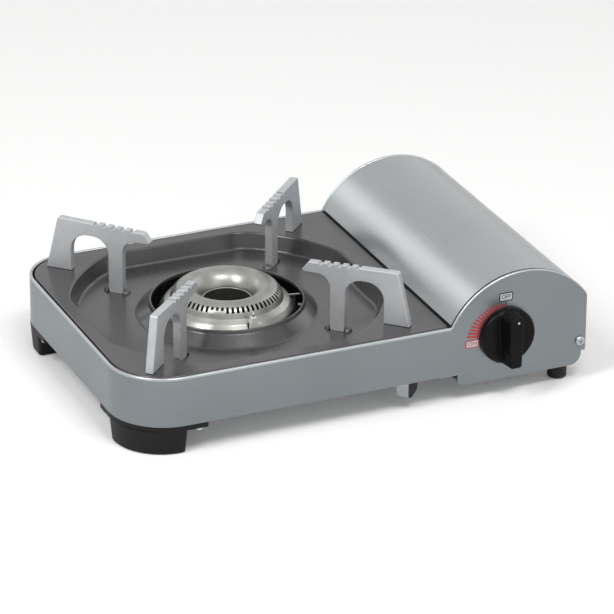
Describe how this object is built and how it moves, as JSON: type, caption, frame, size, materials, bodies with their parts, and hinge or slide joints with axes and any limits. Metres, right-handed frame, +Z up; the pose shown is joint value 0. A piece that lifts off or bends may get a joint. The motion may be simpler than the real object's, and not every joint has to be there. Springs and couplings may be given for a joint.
{
  "type": "portable gas stove",
  "caption": "Tabletop butane stove with a ring burner, upright pan supports, a lift-off top plate, a hinged cartridge cover and a control knob with igniter.",
  "frame": {"origin": "on the table, under the middle of the stove's overall footprint (knob and hinge screws included)", "axes": "+X to the stove's right, towards the cartridge bay; +Y from the front panel to the back; +Z up"},
  "size_m": [0.3516, 0.249, 0.0989],
  "materials": {
    "casing_steel": "brushed, warm grey",
    "zinc_steel": "zinc plated sheet",
    "dark_enamel": "satin dark grey coating",
    "cast_metal": "satin, lightly cast",
    "burner_steel": "polished",
    "die_cast": "die-cast",
    "brass": "turned",
    "copper_tube": "drawn",
    "aluminium_sheet": "mill finish",
    "ferrite": "ground",
    "black_plastic": "satin",
    "knob_plastic": "semi-gloss",
    "case_plastic": "moulded",
    "red_plastic": "moulded",
    "black_rubber": "matte",
    "lead_rubber": "smooth sleeve",
    "ceramic": "glazed ceramic",
    "screw_steel": "zinc plated"
  },
  "bodies": {
    "stove": {"body_shell": "casing_steel", "base_plate": "zinc_steel", "cartridge_tray": "zinc_steel", "partition_plate": "zinc_steel", "plate_rests": "zinc_steel", "base_screws": "screw_steel", "burner_cap": "burner_steel", "burner_bowl": "burner_steel", "burner_throat": "burner_steel", "burner_bracket": "zinc_steel", "burner_screws": "screw_steel", "burner_stay": "zinc_steel", "mixing_tube": "zinc_steel", "gas_nozzle": "brass", "nozzle_bracket": "zinc_steel", "gas_pipe": "copper_tube", "pipe_nuts": "brass", "heat_panel": "aluminium_sheet", "governor_body": "die_cast", "diaphragm_cap": "zinc_steel", "governor_screws": "screw_steel", "governor_bracket": "zinc_steel", "valve_bonnet": "zinc_steel", "cartridge_socket": "brass", "inlet_seal": "black_rubber", "magnet_yoke": "zinc_steel", "magnets": "ferrite", "alignment_key": "zinc_steel", "igniter_case": "case_plastic", "igniter_lead": "lead_rubber", "electrode_insulator": "ceramic", "electrode_wire": "screw_steel", "electrode_clip": "zinc_steel", "lid_hinge_screws": "screw_steel", "front_left_foot": "black_plastic", "rear_left_foot": "black_plastic", "right_feet": "black_rubber", "foot_screws": "screw_steel", "base_tab": "zinc_steel", "tab_pad": "black_rubber"},
    "top": {"top_plate": "dark_enamel", "pan_support_rear_right": "cast_metal", "pan_support_rear_left": "cast_metal", "pan_support_front_left": "cast_metal", "pan_support_front_right": "cast_metal", "support_screws": "screw_steel"},
    "lid": {"cartridge_lid": "casing_steel"},
    "knob": {"control_knob": "knob_plastic", "valve_spindle": "brass", "igniter_cam": "red_plastic"},
    "plunger": {"igniter_plunger": "red_plastic"},
    "release": {"release_ring": "zinc_steel"}
  },
  "joints": [
    {"name": "top_lift", "type": "slide", "parent": "stove", "child": "top", "axis": [0, 0, 1], "range_m": [0, 0.06]},
    {"name": "lid_hinge", "type": "hinge", "parent": "stove", "child": "lid", "pos_m": [0.1706, 0.00805, 0.0307], "axis": [0, 1, 0], "range_deg": [0, 105]},
    {"name": "knob_turn", "type": "hinge", "parent": "stove", "child": "knob", "pos_m": [0.1113, -0.10645, 0.0466], "axis": [0, -1, 0], "range_deg": [0, 95]},
    {"name": "plunger_push", "type": "slide", "parent": "stove", "child": "plunger", "axis": [-1, 0, 0], "range_m": [0, 0.0041]},
    {"name": "release_push", "type": "slide", "parent": "stove", "child": "release", "axis": [0, 1, 0], "range_m": [0, 0.003], "stiffness_N_per_m": 300, "springref_m": -0.002}
  ],
  "couplings": [
    {"joint": "plunger_push", "follows": "knob_turn", "m_per_rad": 0.0024125}
  ]
}
